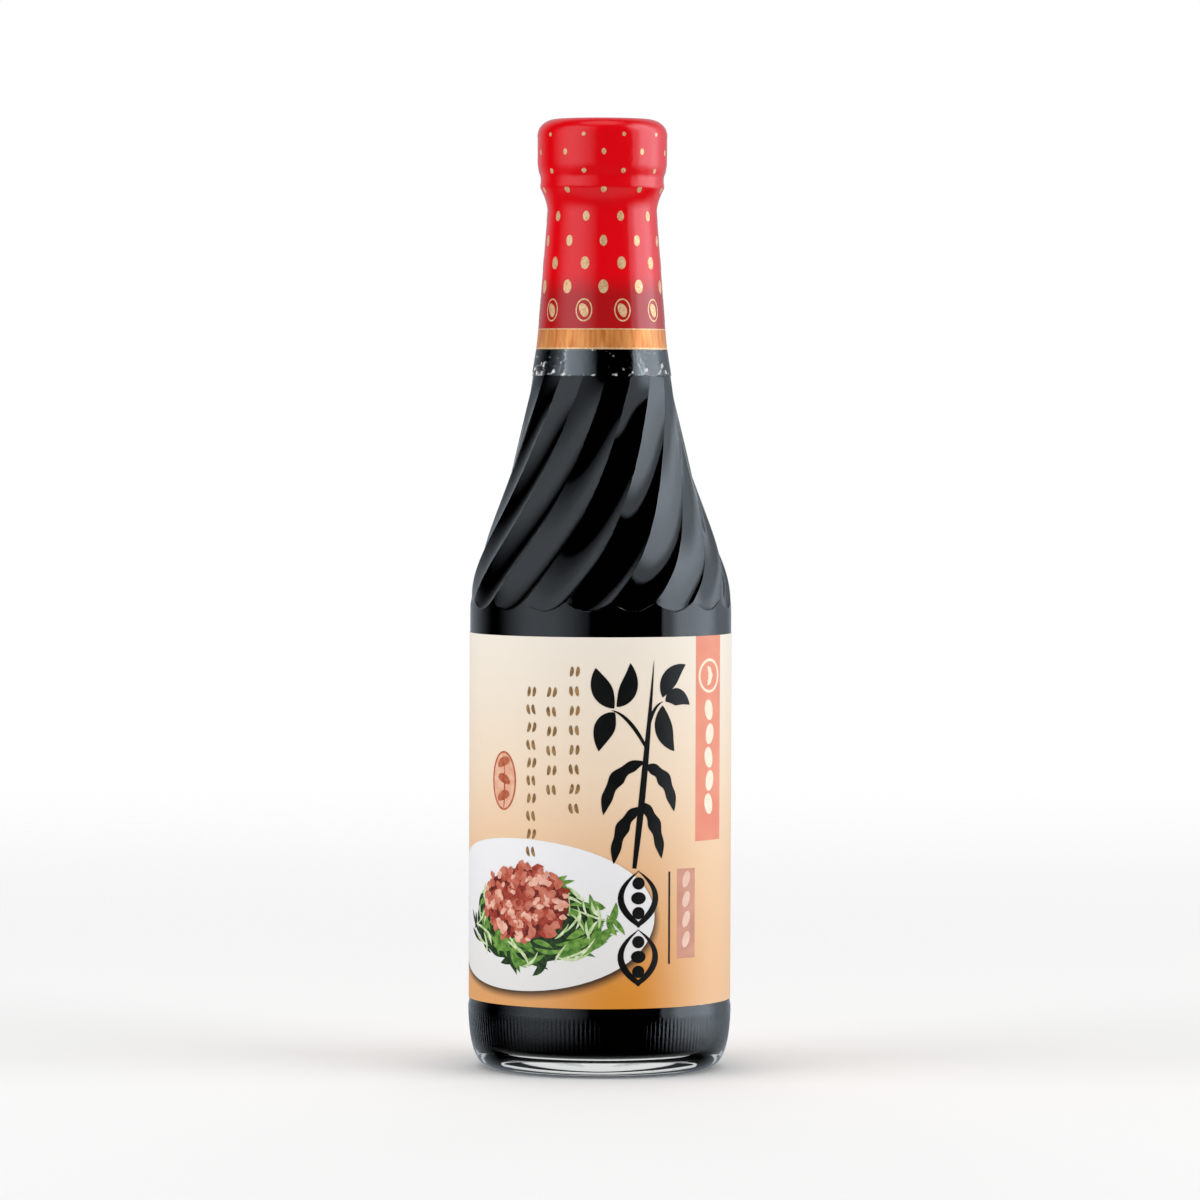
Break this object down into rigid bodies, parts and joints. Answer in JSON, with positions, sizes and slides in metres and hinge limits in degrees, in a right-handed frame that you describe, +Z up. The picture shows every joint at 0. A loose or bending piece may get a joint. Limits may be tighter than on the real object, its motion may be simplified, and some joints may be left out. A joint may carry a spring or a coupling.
{
  "type": "soy sauce bottle",
  "caption": "Round shut glass soy sauce bottle, full, with a swirled fluted shoulder, a shrink-film sleeve over cap and neck, and a wrap-around paper label.",
  "frame": {"origin": "centre of the bottle's base, on the surface that it stands on", "axes": "+Z up along the bottle's axis, -Y towards the middle of the label's front"},
  "size_m": [0.0665, 0.0664, 0.2394],
  "materials": {
    "clear_glass": "clear moulded flint glass, smooth",
    "soy_sauce": "clear, very dark brown liquid",
    "cap_plastic": "moulded red plastic",
    "shrink_film": "glossy red shrink film with gold print and a clear hem",
    "label_paper": "coated paper, printed, satin"
  },
  "bodies": {
    "root": {"bottle": "clear_glass", "soy_sauce": "soy_sauce", "cap": "cap_plastic", "film_sleeve": "shrink_film", "label": "label_paper"}
  },
  "joints": []
}
